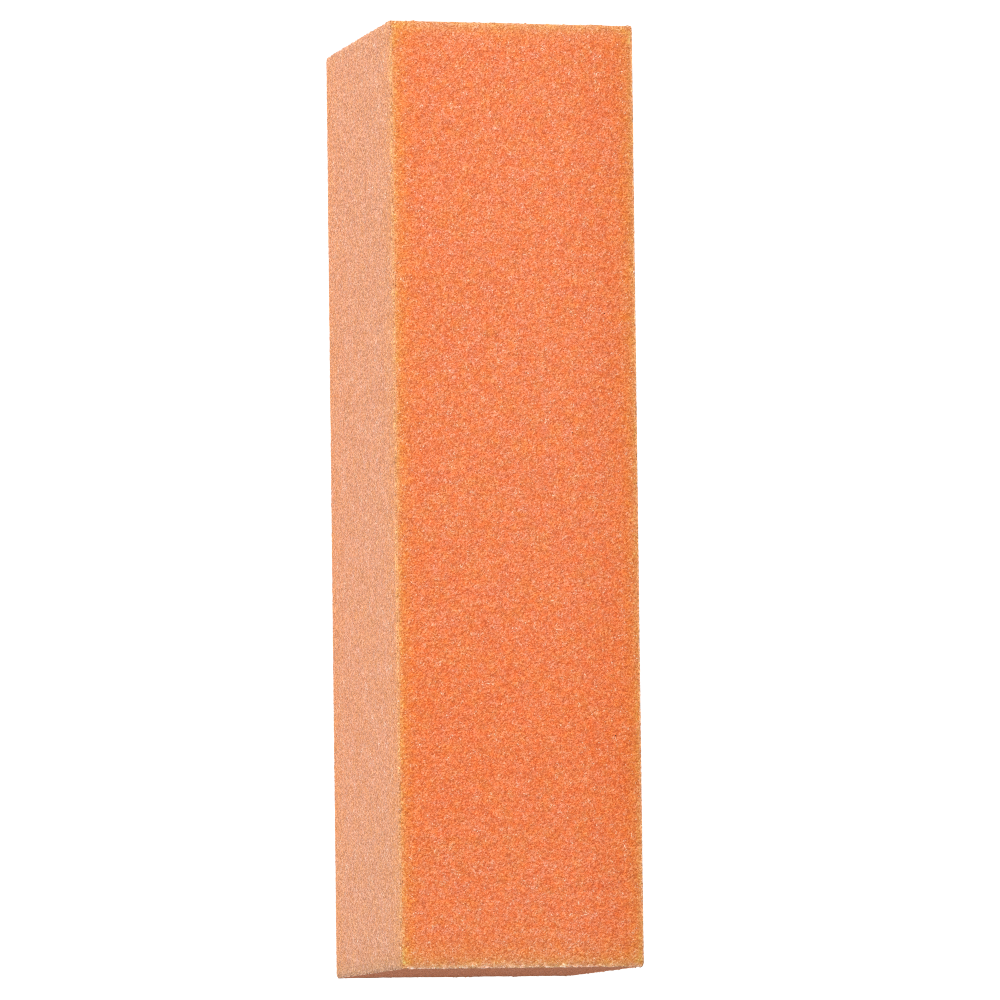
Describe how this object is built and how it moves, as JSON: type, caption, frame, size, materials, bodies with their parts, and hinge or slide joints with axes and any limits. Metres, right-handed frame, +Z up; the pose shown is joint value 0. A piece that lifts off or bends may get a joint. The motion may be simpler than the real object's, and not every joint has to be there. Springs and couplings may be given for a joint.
{
  "type": "nail buffer block",
  "caption": "Oblong foam sanding block for nails, with abrasive grit bonded to its long sides and bare foam at both ends.",
  "frame": {"origin": "centre of the bottom face, on the surface that the block lies on", "axes": "+Z up through the top coarse face, +Y along the block's length, +X to the right fine face"},
  "size_m": [0.0254, 0.0952, 0.0254],
  "materials": {
    "foam": "matte",
    "bond_resin": "satin",
    "coarse_grit": "matte",
    "fine_grit": "matte"
  },
  "bodies": {
    "root": {"foam_core": "foam", "bottom_bond_coat": "bond_resin", "bottom_coarse_grit": "coarse_grit", "top_bond_coat": "bond_resin", "top_coarse_grit": "coarse_grit", "left_bond_coat": "bond_resin", "left_fine_grit": "fine_grit", "right_bond_coat": "bond_resin", "right_fine_grit": "fine_grit"}
  },
  "joints": []
}
